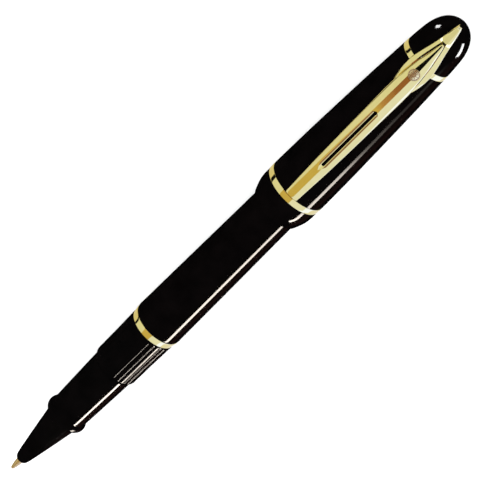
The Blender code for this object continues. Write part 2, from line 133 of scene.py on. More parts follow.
def rounded(points, per):
    """A smooth curve through (station, radius) points, with per points to each stretch."""
    p = np.array(points, float)
    p = np.vstack([2 * p[0] - p[1], p, 2 * p[-1] - p[-2]])
    out = []
    for i in range(1, len(p) - 2):
        a, b, c, d = p[i - 1 : i + 3]
        ta, tb, tc = (max(np.linalg.norm(v), 1e-6) ** 0.5 for v in (b - a, c - b, d - c))
        slope_b = (c - b) + tb * ((b - a) / ta - (c - a) / (ta + tb))
        slope_c = (c - b) + tb * ((d - c) / tc - (d - b) / (tb + tc))
        for k in range(per):
            start, leave, end, reach = hermite(k / per)
            out.append(start * b + leave * slope_b + end * c + reach * slope_c)
    out.append(p[-2])
    return [tuple(v) for v in out]


def add_mesh(name, bm):
    """Puts a finished bmesh into the scene, smooth but for its sharp edges."""
    bmesh.ops.recalc_face_normals(bm, faces=bm.faces)
    mesh = bpy.data.meshes.new(name)
    bm.to_mesh(mesh)
    bm.free()
    mesh.shade_smooth()
    mesh.set_sharp_from_angle(angle=SHARP)
    obj = bpy.data.objects.new(name, mesh)
    bpy.context.scene.collection.objects.link(obj)
    return obj


def bridge(bm, a, b, steps):
    """Faces between two closed rows of points. A row may be a single point."""
    faces = []
    for i in range(steps):
        j = (i + 1) % steps
        corners = []
        for v in (a[i % len(a)], a[j % len(a)], b[j % len(b)], b[i % len(b)]):
            if v not in corners:
                corners.append(v)
        if len(corners) > 2:
            faces.append(bm.faces.new(corners))
    return faces


def turned(name, outline, closed=True, steps=STEPS, radius=None):
    """Turns (station, radius) points about the pen's axis. radius(r, station, angle) may vary it."""
    bm = bmesh.new()
    rows = []
    for s, r in outline:
        if r <= 1e-6:
            rows.append([bm.verts.new(at(s, 0, 0))])
            continue
        row = []
        for i in range(steps):
            turn = 2 * math.pi * i / steps
            rr = (radius(r, s, turn) if radius else r) * FIT
            row.append(bm.verts.new(at(s, rr * math.sin(turn), rr * math.cos(turn))))
        rows.append(row)
    pairs = list(zip(rows, rows[1:])) + ([(rows[-1], rows[0])] if closed else [])
    for a, b in pairs:
        bridge(bm, a, b, steps)
    return add_mesh(name, bm)


def loft(name, loops):
    """Joins equal loops of points in turn, and closes both ends."""
    bm = bmesh.new()
    rows = [[bm.verts.new(p) for p in loop] for loop in loops]
    for a, b in zip(rows, rows[1:]):
        bridge(bm, a, b, len(a))
    bm.faces.new(rows[0][::-1])
    bm.faces.new(rows[-1])
    return add_mesh(name, bm)


def cut(obj, cutter):
    """Takes the cutter's shape out of an object, and the cutter out of the scene."""
    boolean = obj.modifiers.new("cut", "BOOLEAN")
    boolean.operation = "DIFFERENCE"
    boolean.solver = "EXACT"
    boolean.object = cutter
    bpy.context.view_layer.update()
    graph = bpy.context.evaluated_depsgraph_get()
    mesh = bpy.data.meshes.new_from_object(obj.evaluated_get(graph))
    obj.modifiers.clear()
    obj.data = mesh
    mesh.shade_smooth()
    mesh.set_sharp_from_angle(angle=SHARP)
    bpy.data.objects.remove(cutter, do_unlink=True)


# ---- material helpers ---------------------------------------------------------------------


def new_material(name, colour, roughness, metallic=0.0, specular=0.5):
    """A Principled material, as (material, node tree, shader)."""
    material = bpy.data.materials.new(name)
    material.use_nodes = True
    shader = material.node_tree.nodes["Principled BSDF"]
    shader.inputs["Base Color"].default_value = (*colour, 1)
    shader.inputs["Roughness"].default_value = roughness
    shader.inputs["Metallic"].default_value = metallic
    shader.inputs["Specular IOR Level"].default_value = specular
    return material, material.node_tree, shader


def mapped_noise(tree, scale, detail, stretch=(1, 1, 1)):
    """Noise that sits on the piece. A small stretch along an axis draws it out into lines."""
    place = tree.nodes.new("ShaderNodeTexCoord")
    mapping = tree.nodes.new("ShaderNodeMapping")
    mapping.inputs["Scale"].default_value = stretch
    tree.links.new(place.outputs["Object"], mapping.inputs["Vector"])
    noise = tree.nodes.new("ShaderNodeTexNoise")
    noise.inputs["Scale"].default_value = scale
    noise.inputs["Detail"].default_value = detail
    tree.links.new(mapping.outputs["Vector"], noise.inputs["Vector"])
    return noise.outputs["Fac"]


def spread(tree, value, low, high, start=0.35, end=0.65):
    """Maps a value between start and end onto low to high."""
    ranged = tree.nodes.new("ShaderNodeMapRange")
    ranged.inputs["From Min"].default_value = start
    ranged.inputs["From Max"].default_value = end
    ranged.inputs["To Min"].default_value = low
    ranged.inputs["To Max"].default_value = high
    tree.links.new(value, ranged.inputs["Value"])
    return ranged.outputs["Result"]


def tint(tree, value, dark, light):
    """Colour that runs from dark to light over the middle of a noise's range."""
    ramp = tree.nodes.new("ShaderNodeValToRGB")
    ramp.color_ramp.elements[0].position = 0.3
    ramp.color_ramp.elements[0].color = (*dark, 1)
    ramp.color_ramp.elements[1].position = 0.7
    ramp.color_ramp.elements[1].color = (*light, 1)
    tree.links.new(value, ramp.inputs["Fac"])
    return ramp.outputs["Color"]


def bump(tree, shader, value, strength, distance):
    made = tree.nodes.new("ShaderNodeBump")
    made.inputs["Strength"].default_value = strength
    made.inputs["Distance"].default_value = distance
    tree.links.new(value, made.inputs["Height"])
    tree.links.new(made.outputs["Normal"], shader.inputs["Normal"])


def lacquer(name, dark, light, rough_low, rough_high, specular):
    """Polished black: faint depth in the colour, slight unevenness in gloss and surface."""
    material, tree, shader = new_material(name, light, rough_low, 0.0, specular)
    cloud = mapped_noise(tree, 260, 4)
    tree.links.new(tint(tree, cloud, dark, light), shader.inputs["Base Color"])
    wear = mapped_noise(tree, 900, 5, (0.25, 1, 1))
    tree.links.new(spread(tree, wear, rough_low, rough_high), shader.inputs["Roughness"])
    bump(tree, shader, mapped_noise(tree, 1400, 2), 0.03, 0.00002)
    return material


def metal(name, dark, light, rough_low, rough_high, grain=(0.06, 1, 1)):
    """Plated or turned metal: fine lines along the grain, gloss that varies a little."""
    material, tree, shader = new_material(name, light, rough_low, 1.0)
    cloud = mapped_noise(tree, 500, 4)
    tree.links.new(tint(tree, cloud, dark, light), shader.inputs["Base Color"])
    lines = mapped_noise(tree, 5200, 3, grain)
    tree.links.new(spread(tree, lines, rough_low, rough_high), shader.inputs["Roughness"])
    bump(tree, shader, lines, 0.06, 0.00001)
    return material


def plastic(name, dark, light, rough_low, rough_high):
    """Moulded plastic: faint clouds in the colour and a fine grain in the surface."""
    material, tree, shader = new_material(name, light, rough_low)
    cloud = mapped_noise(tree, 420, 4)
    tree.links.new(tint(tree, cloud, dark, light), shader.inputs["Base Color"])
    fine = mapped_noise(tree, 2400, 4)
    tree.links.new(spread(tree, fine, rough_low, rough_high), shader.inputs["Roughness"])
    bump(tree, shader, fine, 0.15, 0.00002)
    return material


def fibre(name, dark, light):
    """Dull fibre, its strands running along the pen."""
    material, tree, shader = new_material(name, light, 0.9)
    strands = mapped_noise(tree, 9000, 4, (0.04, 1, 1))
    tree.links.new(tint(tree, strands, dark, light), shader.inputs["Base Color"])
    tree.links.new(spread(tree, strands, 0.75, 1.0), shader.inputs["Roughness"])
    bump(tree, shader, strands, 0.6, 0.00005)
    return material


BLACK = lacquer(
    "black_lacquer", (0.0008, 0.0006, 0.0006), (0.0016, 0.0012, 0.0012), 0.05, 0.09, 0.06
)
GRIP = lacquer(
    "black_grip", (0.0008, 0.0007, 0.0007), (0.0016, 0.0013, 0.0013), 0.06, 0.10, 0.07
)
GOLD = metal("gold_plate", (0.84, 0.75, 0.34), (0.88, 0.79, 0.38), 0.035, 0.07)
POINT = metal("point_metal", (0.50, 0.36, 0.17), (0.68, 0.52, 0.28), 0.16, 0.28, (1, 0.05, 0.05))
RELIEF = metal("gold_relief", (0.90, 0.82, 0.50), (0.94, 0.87, 0.56), 0.24, 0.34, (1, 1, 1))
# Painted shade: a dark brown gold for the clip groove's outer slopes, in place of the dark they
# reflect.
GROOVE_PAINTED_SHADE = metal("gold_groove_painted_shade", (0.30, 0.15, 0.05), (0.42, 0.22, 0.08), 0.16, 0.24)
MARK = plastic("mark_lines", (0.10, 0.045, 0.018), (0.17, 0.08, 0.035), 0.40, 0.55)
BALL = metal("writing_ball", (0.10, 0.09, 0.08), (0.16, 0.15, 0.14), 0.10, 0.18)
BRASS = metal("turned_brass", (0.66, 0.47, 0.20), (0.76, 0.57, 0.27), 0.22, 0.34, (1, 0.06, 0.06))
STEEL = metal("spring_steel", (0.50, 0.50, 0.52), (0.62, 0.62, 0.64), 0.18, 0.30)
LINER = plastic("moulded_liner", (0.020, 0.020, 0.022), (0.032, 0.032, 0.035), 0.38, 0.50)
REFILL = plastic("refill_plastic", (0.16, 0.17, 0.19), (0.22, 0.23, 0.26), 0.28, 0.38)
INK = fibre("inked_fibre", (0.010, 0.014, 0.05), (0.03, 0.045, 0.14))


# ---- pieces -------------------------------------------------------------------------------


def show(obj, material, body, cad_node):
    """Gives a finished piece its material and puts it in its CAD node's place, on its body."""
    obj.data.materials.clear()
    obj.data.materials.append(material)
    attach(obj, body)
    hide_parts(cad_node)
    return obj


def second(obj, material, faces):
    """Gives some faces of a shown piece another material."""
    obj.data.materials.append(material)
    for i in faces:
        obj.data.polygons[i].material_index = 1


def keep(name, material):
    """A CAD node that stays as it is, with a finished material."""
    mesh = frame["nodes"][name].data
    mesh.materials.clear()
    mesh.materials.append(material)


def trim(front, rear, front_radius, rear_radius, bore, edge=0.14):
    """Outline of a thin ring whose outer edges are rounded."""
    middle = ((front + rear) / 2, (front_radius + rear_radius) / 2)
    outer = rounded(
        [
            (rear, rear_radius - edge),
            (rear - edge * 0.3, rear_radius - edge * 0.25),
            (rear - edge * 1.3, rear_radius - 0.01),
            middle,
            (front + edge * 1.3, front_radius - 0.01),
            (front + edge * 0.3, front_radius - edge * 0.25),
            (front, front_radius - edge),
        ],
        4,
    )
    return outer + [(front, bore), (rear, bore)]


barrel = turned(
    "barrel_skin",
    rounded([(128.0, 4.15), (127.75, 4.42), (127.0, 4.60), (120.0, 4.75)], 5)[:-1]
    + rounded(
        [
            (120.0, 4.75),
            (110.0, 4.95),
            (100.0, 5.13),
            (91.7, 5.28),
            (85.3, 5.36),
            (76.0, 5.50),
            (66.5, 5.63),
            (56.8, 5.76),
        ],
        4,
    )[:-1]
    + rounded([(56.8, 5.76), (53.9, 5.80), (53.4, 5.80), (53.12, 5.77), (53.02, 5.69)], 5)
    + [(53.02, 5.10), (63.3, 5.10), (63.3, 4.55), (106.0, 4.25), (121.0, 3.90), (128.0, 3.90)],
)
show(barrel, BLACK, "barrel", "barrel_shell")

lip = turned(
    "cap_mouth",
    [(104.0, 6.18), (97.9, 6.20), (97.9, 6.75)]
    + rounded(
        [
            (97.9, 6.755),
            (96.9, 6.76),
            (96.0, 6.74),
            (95.2, 6.67),
            (94.4, 6.51),
            (93.7, 6.30),
            (93.1, 6.09),
            (92.6, 5.91),
            (92.3, 5.80),
            (92.17, 5.74),
        ],
        5,
    )[1:]
    + [(92.17, 5.70), (92.35, 5.66), (104.0, 5.66)],
)
show(lip, BLACK, "cap", "cap_lip")

show(turned("band_gold", trim(97.97, 99.47, 6.81, 6.81, 6.24)), GOLD, "cap", "cap_band")

tube_outline = [
    (138.20, 5.53),
    (136.53, 5.60),
    (130.10, 5.91),
    (121.42, 6.23),
    (112.61, 6.53),
    (103.66, 6.74),
    (99.55, 6.80),
]
tube = turned(
    "cap_skin",
    rounded(tube_outline, 5)
    + [
        (99.55, 6.24),
        (104.2, 6.24),
        (104.2, 5.95),
        (112.0, 5.93),
        (130.0, 5.33),
        (136.1, 5.05),
        (136.1, 3.70),
        (138.20, 3.70),
    ],
)
# The clip's window in the cap, between two opposite corners.
WINDOW = ((133.2, -0.9, 4.0), (135.6, 0.9, 7.0))
bm = bmesh.new()
bmesh.ops.create_cube(bm, size=1.0)
low, high = (at(*corner) for corner in WINDOW)
bmesh.ops.transform(
    bm,
    matrix=Matrix.Translation((low + high) / 2) @ Matrix.Diagonal((*(high - low), 1)),
    verts=bm.verts,
)
cut(tube, add_mesh("window_cutter", bm))
show(tube, BLACK, "cap", "cap_tube")

show(
    turned("crown_gold", trim(138.29, 139.61, 5.53, 5.46, 3.70)), GOLD, "cap", "crown_ring"
)

dome = rounded(
    [
        (150.0, 0.0),
        (149.93, 0.62),
        (149.72, 1.32),
        (149.3, 2.20),
        (148.6, 3.10),
        (147.7, 3.82),
        (146.7, 4.35),
        (145.6, 4.74),
        (144.3, 5.02),
        (142.9, 5.19),
        (141.2, 5.34),
        (139.69, 5.43),
    ],
    5,
)
hollow = [(139.69, 4.12), (145.2, 4.12), (146.4, 2.9), (146.4, 0.0)]
crown = show(turned("crown_dome", dome + hollow, closed=False), BLACK, "cap", "crown")

front_ring = turned("section_gold", trim(51.26, 52.88, 5.60, 5.76, 4.40, 0.10))
show(front_ring, GOLD, "section", "section_ring")

grip = turned(
    "grip_body",
    [(52.85, 4.35), (37.45, 4.35)]
    + rounded([(37.4, 4.97), (33.0, 4.86), (29.35, 4.74), (24.2, 4.57), (21.75, 4.48)], 4)[:-1]
    + rounded([(21.75, 4.48), (21.6, 4.46), (21.47, 4.49)], 3)[:-1]
    + rounded(
        [
            (21.47, 4.49),
            (21.25, 4.67),
            (20.9, 4.90),
            (20.35, 4.99),
            (19.8, 4.85),
            (19.35, 4.50),
            (19.1, 4.18),
            (18.9, 3.94),
        ],
        5,
    )[:-1]
    + rounded([(18.9, 3.94), (16.4, 3.56), (11.2, 2.77), (6.0, 1.94)], 4)[:-1]
    + rounded([(6.0, 1.94), (4.9, 1.75), (4.2, 1.59), (3.7, 1.37), (3.48, 1.18), (3.4, 1.02)], 4)
    + [(3.4, 0.93), (5.0, 0.93), (5.3, 1.35), (15.9, 1.35), (17.7, 3.08)]
    + [(46.9, 3.08), (46.9, 3.90), (52.85, 3.90)],
)
show(grip, GRIP, "section", "grip_section")


FLUTES = 26
FLUTE_TURN = math.radians(-15.1)
# A groove takes this share of its pitch, and the plain land the rest.
FLUTE_SHARE = 0.44
FLUTE_DEPTH = 0.10
FLUTE_FRONT, FLUTE_REAR, FLUTE_RUN_OUT = 37.9, 51.15, 0.6
# The collar's skin is wider than this, and its bore is narrower.
SKIN_RADIUS = 4.6


def fluted(r, station, turn):
    """Narrow lengthwise grooves between plain lands, fading out at the collar's two ends."""
    if r < SKIN_RADIUS:
        return r
    inside = max(0.0, min(station - FLUTE_FRONT, FLUTE_REAR - station))
    fade = min(1.0, inside / FLUTE_RUN_OUT)
    pitches = (turn - FLUTE_TURN) * FLUTES / (2 * math.pi)
    t = abs(pitches - round(pitches)) / (FLUTE_SHARE / 2)
    return r - FLUTE_DEPTH * fade * (0.5 + 0.5 * math.cos(math.pi * t) if t < 1 else 0.0)


collar = turned(
    "collar_flutes",
    rounded([(51.2, 5.50), (51.12, 5.57), (50.9, 5.61), (50.0, 5.58), (44.5, 5.46)], 4)[:-1]
    + rounded([(44.5, 5.46), (40.0, 5.43), (38.6, 5.41), (38.2, 5.38), (37.5, 5.02)], 4)
    + [(37.5, 4.40), (51.2, 4.40)],
    steps=FLUTES * 18,
    radius=fluted,
)
show(collar, GRIP, "section", "fluted_collar")

point = turned(
    "point_metal",
    [
        (8.2, 0.85),
        (4.4, 0.85),
        (3.4, 0.83),
        (2.8, 0.80),
        (2.2, 0.75),
        (1.75, 0.70),
        (1.3, 0.63),
        (1.0, 0.57),
        (0.7, 0.50),
        (0.3, 0.41),
        (0.22, 0.38),
        (0.22, 0.357),
        (0.35, 0.378),
        (0.55, 0.33),
        (0.70, 0.18),
        (1.4, 0.18),
        (1.5, 0.30),
        (8.2, 0.30),
    ],
    steps=64,
)
show(point, POINT, "refill", "point_cone")

BALL_RADIUS = 0.35
bm = bmesh.new()
bmesh.ops.create_uvsphere(bm, u_segments=48, v_segments=24, radius=BALL_RADIUS * MM)
bmesh.ops.translate(bm, vec=at(BALL_RADIUS, 0, 0), verts=bm.verts)
show(add_mesh("ball_metal", bm), BALL, "ball", "writing_ball")

# ---- clip ---------------------------------------------------------------------------------

# Clip arm: station, half width, height of the crest and height of the underside.
ARM = [
    (99.88, 1.20, 7.70, 7.20),
    (100.03, 1.42, 7.90, 7.04),
    (100.45, 1.50, 8.00, 6.98),
    (103.00, 1.60, 8.15, 6.98),
    (104.20, 1.65, 8.23, 7.20),
    (106.00, 1.71, 8.33, 7.42),
    (109.00, 1.82, 8.45, 7.50),
    (113.50, 1.91, 8.54, 7.57),
    (118.00, 1.99, 8.58, 7.60),
    (122.50, 2.05, 8.57, 7.57),
    (127.00, 2.11, 8.52, 7.50),
    (131.00, 2.17, 8.42, 7.35),
    (133.20, 2.17, 8.36, 7.05),
    (134.60, 2.08, 8.31, 6.80),
    (136.00, 1.88, 8.25, 6.55),
    (137.50, 1.76, 8.13, 6.35),
    (139.00, 1.60, 8.00, 6.12),
    (140.00, 1.49, 7.87, 6.04),
    (141.00, 1.37, 7.70, 6.02),
    (142.00, 1.19, 7.49, 6.03),
    (143.00, 0.99, 7.25, 6.05),
    (144.00, 0.78, 6.97, 6.04),
    (144.80, 0.60, 6.71, 6.00),
    (145.40, 0.44, 6.49, 5.98),
    (145.75, 0.26, 6.34, 6.02),
    (145.88, 0.17, 6.28, 6.02),
]
# Radius of the arm's arched top at each station.
CREST_RADII = [(99.88, 4.0), (112.0, 3.8), (127.0, 2.9), (138.0, 2.7), (139.4, 2.35)]
CREST_RADII += [(141.0, 1.8), (143.0, 1.15), (145.75, 0.6)]
# Keeps the finer arm inside the coarser one of the CAD model.
CREST_DROP = 0.02


def crest_radius(station):
    return float(smooth_table(CREST_RADII, [station])[0][0])


def crest_height(station):
    return float(smooth_table(ARM, [station])[0][1]) - CREST_DROP


# Width of the rolled edge, and how many points run across the arched top.
ARM_ROLL, ARM_COUNT = 0.13, 33


def arm_loop(station, half, crest, under):
    """Arched top, rolled edges, straight sides and a flat underside."""
    loop = []
    bend = crest_radius(station)
    roll = min(ARM_ROLL, half * 0.2)
    for i in range(ARM_COUNT):
        y = (half - roll) * (1 - 2 * i / (ARM_COUNT - 1))
        loop.append((y, crest - CREST_DROP - bend + math.sqrt(bend**2 - y**2)))
    side = loop[-1][1]
    # The rolled edge starts on the arch's own slope, so the shading runs on across it.
    lean = math.asin((half - roll) / bend)
    reach = roll / (1 - math.sin(lean))
    rim = []
    for k in range(1, 6):
        a = lean + (math.pi / 2 - lean) * k / 5
        y = half - roll + reach * (math.sin(a) - math.sin(lean))
        rim.append((y, side - reach * (math.cos(lean) - math.cos(a))))
    foot = min(0.18, (rim[-1][1] - under) / 3)
    low = [(half, under + foot), (half - 0.05, under + 0.05), (half - 0.16, under)]
    right = rim + low
    points = loop + [(-y, z) for y, z in right] + right[::-1]
    return [at(station, y, z) for y, z in points]


cuts = [99.88, 99.93, 100.03, 100.2, 100.45, 101, 102, 103, 103.6, 104.2, 105, 106]
cuts += list(np.arange(107.5, 132, 1.5)) + list(np.arange(132, 145.4, 0.4))
cuts += [145.5, 145.62, 145.75, 145.88]
arm = loft(
    "clip_blade", [arm_loop(s, *row) for s, row in zip(cuts, smooth_table(ARM, cuts))]
)


SLOT_FRONT, SLOT_REAR, SLOT_HALF, SLOT_CORNER = 110.0, 126.5, 0.34, 0.2
# The slot's cutter runs between these heights, right through the arm.
SLOT_HEIGHTS = (6.8, 9.2)
GROOVE_DEPTH, GROOVE_HALF, GROOVE_SLOPE = 0.487, 1.0, 0.5
# Share of the groove's depth at each station.
GROOVE_ENDS = ((SLOT_FRONT - 1.3, 0.0), (SLOT_FRONT + 0.4, 1.0))
GROOVE_ENDS += ((SLOT_REAR - 0.2, 1.0), (SLOT_REAR + 0.4, 0.0))
# The groove keeps the plain gold beside the slot; beyond this distance its outer slopes get painted
# shade, a dark brown gold standing in for the dark they reflect.
GROOVE_SHADE_FROM = 0.46


def slot_loop(height):
    """Outline of the through slot: a half round at the front, rounded corners at the rear."""
    points = []
    for k in range(-8, 9):
        a = math.pi / 2 * k / 8
        points.append((SLOT_FRONT + SLOT_HALF * (1 - math.cos(a)), SLOT_HALF * math.sin(a)))
    for side in (1, -1):
        for k in range(5):
            a = math.pi / 2 * (k if side > 0 else 4 - k) / 4
            along = SLOT_REAR - SLOT_CORNER + SLOT_CORNER * math.sin(a)
            across = SLOT_HALF - SLOT_CORNER + SLOT_CORNER * math.cos(a)
            points.append((along, side * across))
    return [at(s, y, height) for s, y in points]


def groove_loop(station):
    """Section of the shallow groove that the slot runs along, which dies away at both ends."""
    share = np.interp(station, *zip(*GROOVE_ENDS))
    base = crest_height(station) - GROOVE_DEPTH * share
    sides = (0, GROOVE_SHADE_FROM, GROOVE_HALF, -GROOVE_HALF, -GROOVE_SHADE_FROM)
    return [at(station, y, base + abs(y) * GROOVE_SLOPE) for y in sides]


cut(arm, loft("slot_cutter", [slot_loop(height) for height in SLOT_HEIGHTS]))
stops = sorted([station for station, _ in GROOVE_ENDS] + list(range(111, 126)))
# Two empty places, so that the cut keeps apart the faces of the groove's bands of painted shade.
arm.data.materials.append(None)
arm.data.materials.append(None)
groove = loft("groove_cutter", [groove_loop(s) for s in stops])
# The cutter's outer slope faces take the second slot, which later gets the painted shade.
for face in groove.data.polygons:
    face.material_index = int(face.index % 5 in (1, 3))
cut(arm, groove)

DISC_STATION, DISC_RADIUS = 137.8, 1.22
# The disc's round seat in the arm, a little wider than the disc, and its floor's height.
SEAT_RADIUS, SEAT_FLOOR, SEAT_TOOL_LENGTH = 1.26, 7.64, 2.0
bm = bmesh.new()
bmesh.ops.create_cone(
    bm,
    cap_ends=True,
    segments=64,
    radius1=SEAT_RADIUS * MM,
    radius2=SEAT_RADIUS * MM,
    depth=SEAT_TOOL_LENGTH * MM,
)
seat_middle = at(DISC_STATION, 0, SEAT_FLOOR + SEAT_TOOL_LENGTH / 2)
bmesh.ops.translate(bm, vec=seat_middle, verts=bm.verts)
cut(arm, add_mesh("seat_cutter", bm))
shade_painted_faces = [face.index for face in arm.data.polygons if face.material_index == 1]
show(arm, GOLD, "clip", "clip_arm")
# The groove's outer slopes get the dark brown gold of painted shade.
second(arm, GROOVE_PAINTED_SHADE, shade_painted_faces)

# Clip head: station, half width, half width of its channel, wing height and channel floor height.
HEAD = [
    (132.90, 1.75, 1.45, 6.12, 6.16),
    (133.40, 2.06, 1.60, 6.20, 6.24),
    (134.30, 2.36, 1.85, 6.32, 6.30),
    (135.20, 2.54, 2.00, 6.52, 6.28),
    (136.30, 2.68, 1.98, 6.78, 6.20),
    (137.50, 2.78, 1.88, 6.96, 6.05),
    (139.00, 2.80, 1.72, 7.02, 5.90),
    (140.00, 2.70, 1.61, 6.98, 5.86),
    (141.00, 2.52, 1.49, 6.90, 5.83),
    (142.00, 2.30, 1.31, 6.77, 5.80),
    (143.00, 2.06, 1.11, 6.60, 5.74),
    (144.00, 1.80, 0.90, 6.38, 5.64),
    (144.80, 1.60, 0.73, 6.18, 5.54),
    (145.70, 1.42, 0.50, 6.02, 5.42),
    (145.92, 1.38, 0.43, 6.02, 5.42),
    (146.00, 1.36, 0.42, 6.10, 6.16),
    (146.80, 1.20, 0.40, 5.72, 5.80),
    (147.60, 1.04, 0.38, 5.22, 5.31),
    (148.40, 0.88, 0.34, 4.62, 4.71),
    (149.10, 0.72, 0.28, 3.98, 4.06),
    (149.60, 0.54, 0.20, 3.42, 3.49),
    (149.86, 0.34, 0.12, 3.02, 3.07),
]
WING_FALL, WING_SWELL = 0.42, 0.05
# Gap to the cap below, and the most that the head is thick under its channel.
HEAD_GAP, HEAD_WALL = 0.12, 1.15
CAP_SIDE = sorted(tube_outline) + sorted((s, r) for s, r in dome)


def cap_radius(station):
    return float(np.interp(station, *zip(*CAP_SIDE)))


def head_loop(station, half, channel, wing, floor):
    """Curved underside, swelling wings and a channel for the clip's blade."""
    under = max(cap_radius(station) + HEAD_GAP, floor - HEAD_WALL)
    under = max(under, half + 0.05)
    loop = []
    for share in np.linspace(-1, 1, 13):
        y = half * share
        loop.append((y, math.sqrt(under**2 - y**2)))
    top = wing - WING_FALL * (half - channel)
    turn = min(0.09, 0.3 * (half - channel))
    outer = np.array([half - turn, top + 0.3 * turn])
    inner = np.array([channel, wing])
    swell = np.array([(half + channel) / 2, (wing + top) / 2 + WING_SWELL])
    side = [(half, top - turn), (half - 0.12 * turn, top - 0.45 * turn)]
    side.append((half - 0.45 * turn, top - 0.02 * turn))
    for t in np.linspace(0, 1, 9):
        middle = 2 * swell - (outer + inner) / 2
        side.append(tuple((1 - t) ** 2 * outer + 2 * t * (1 - t) * middle + t**2 * inner))
    side += [(channel, floor)]
    points = loop + side + [(0.0, floor)] + [(-y, z) for y, z in side[::-1]]
    return [at(station, y, z) for y, z in points]


cuts = [132.9, 133.1, 133.4, 133.8] + list(np.arange(134.3, 145.4, 0.3))
cuts += [145.7, 145.92, 145.96, 146.0, 146.4, 146.8, 147.2, 147.6, 148.0, 148.4]
cuts += [148.75, 149.1, 149.35, 149.6, 149.74, 149.86]
head = loft(
    "clip_wings", [head_loop(s, *row) for s, row in zip(cuts, smooth_table(HEAD, cuts))]
)
show(head, GOLD, "cap", "clip_head")

# A plain wheel of fine dark lines stands where the engraved mark was, let into the arm.
SPOKES, PER_SPOKE, SPOKE_WIDTH = 8, 18, 3
RIM_LINE, HUB_LINE, SPOKE_LINE = (1.00, 1.13), (0.34, 0.47), (0.56, 0.90)
FACE_BELOW, RIM_BELOW, LINE_BELOW, DISC_DEPTH = 0.01, 0.03, 0.045, 0.3


def disc_point(r, turn, below):
    """Point of the disc, which follows the arm's arched top."""
    along, y = DISC_STATION + r * math.cos(turn), r * math.sin(turn)
    bend = crest_radius(along)
    return at(along, y, crest_height(along) - bend + math.sqrt(bend**2 - y**2) - below)


bm = bmesh.new()
levels = [0.06, 0.2, 0.34]
for low, high in (HUB_LINE, SPOKE_LINE, RIM_LINE):
    levels += [low - 0.02, low, high, high + 0.02]
levels = sorted(set(levels + [0.7, 0.82, 1.2, DISC_RADIUS]))
segments = SPOKES * PER_SPOKE
rows = [[bm.verts.new(disc_point(0.0, 0.0, FACE_BELOW))]]
for r in levels:
    row = []
    for i in range(segments):
        lined = any(low <= r <= high for low, high in (HUB_LINE, RIM_LINE))
        lined = lined or (SPOKE_LINE[0] <= r <= SPOKE_LINE[1] and i % PER_SPOKE <= SPOKE_WIDTH)
        below = LINE_BELOW if lined else (RIM_BELOW if r == DISC_RADIUS else FACE_BELOW)
        row.append(bm.verts.new(disc_point(r, 2 * math.pi * i / segments, below)))
    rows.append(row)
rows.append([bm.verts.new(v.co - Vector((0, 0, DISC_DEPTH * MM))) for v in rows[-1]])
rows.append([bm.verts.new(disc_point(0.0, 0.0, FACE_BELOW + DISC_DEPTH))])
for k, (a, b) in enumerate(zip(rows, rows[1:])):
    for i, face in enumerate(bridge(bm, a, b, segments)):
        if 0 < k < len(levels):
            middle = (levels[k - 1] + levels[k]) / 2
            ring = any(low < middle < high for low, high in (HUB_LINE, RIM_LINE))
            spoke = SPOKE_LINE[0] < middle < SPOKE_LINE[1] and i % PER_SPOKE < SPOKE_WIDTH
            face.material_index = int(ring or spoke)
disc = add_mesh("plain_disc", bm)
lined = [face.index for face in disc.data.polygons if face.material_index == 1]
show(disc, RELIEF, "clip", "clip_medallion")
second(disc, MARK, lined)

for name, material in {
    "section_thread": BRASS,
    "barrel_thread_insert": BRASS,
    "crown_bush": BRASS,
    "tail_plug": LINER,
    "inner_cap": LINER,
    "refill_plug": LINER,
    "refill_tube": REFILL,
    "refill_nose": REFILL,
    "return_spring": STEEL,
    "clip_pin": STEEL,
    "clip_spring": STEEL,
    "ink_reservoir": INK,
    "ink_wick": INK,
}.items():
    keep(name, material)

# ---- camera -------------------------------------------------------------------------------

# The camera stands TILT towards the pen's rear and ROLL round the pen from the clip's crest, and
# the pen rises across the picture by SLOPE.
TILT = math.radians(27.0)
ROLL = math.radians(3.6)
SLOPE = math.radians(44.6)
DISTANCE = 0.5438
AIM = at(79.7, 0, 0)
# Width of the picture at the aim, and the shift of its middle as a share of that width.
FRAME_WIDTH = 100.637 * MM
SHIFT_X, SHIFT_Y = 0.00425, 0.01052
SENSOR_WIDTH = 36

toward = Vector(
    (math.sin(TILT), math.cos(TILT) * math.sin(ROLL), math.cos(TILT) * math.cos(ROLL))
)
along = (Vector((1, 0, 0)) - toward * toward.x).normalized()
across = toward.cross(along)
right = math.cos(SLOPE) * along - math.sin(SLOPE) * across
up = math.sin(SLOPE) * along + math.cos(SLOPE) * across
camera = bpy.data.objects.new("camera", bpy.data.cameras.new("camera"))
bpy.context.scene.collection.objects.link(camera)
pose = Matrix((right, up, toward)).transposed().to_4x4()
pose.translation = AIM + toward * DISTANCE
camera.matrix_world = pose
camera.data.sensor_width = SENSOR_WIDTH
camera.data.lens = SENSOR_WIDTH * DISTANCE / FRAME_WIDTH
camera.data.shift_x = SHIFT_X
camera.data.shift_y = SHIFT_Y
camera.data.clip_start = 0.01
bpy.context.scene.camera = camera

# ---- floor and light ----------------------------------------------------------------------

# Half of the floor's side and its gap below the pen, in metres.
FLOOR_HALF, FLOOR_GAP = 3.0, 0.0003
bm = bmesh.new()
bmesh.ops.create_grid(bm, x_segments=40, y_segments=40, size=FLOOR_HALF)
bmesh.ops.translate(bm, vec=(0, 0, before[0][2] - FLOOR_GAP), verts=bm.verts)
floor = add_mesh("floor", bm)
material, tree, shader = new_material("pale_floor", (0.86, 0.86, 0.86), 0.7, 0.0, 0.1)
tree.links.new(
    tint(tree, mapped_noise(tree, 30, 3), (0.85, 0.85, 0.85), (0.87, 0.87, 0.87)),
    shader.inputs["Base Color"],
)
floor.data.materials.append(material)
floor.visible_glossy = False

# Directions round the pen are measured from the camera's side, in the plane across the pen.
ACROSS_UP = Vector((0, math.sin(ROLL), math.cos(ROLL)))
ACROSS_SIDE = Vector((0, -math.cos(ROLL), math.sin(ROLL)))


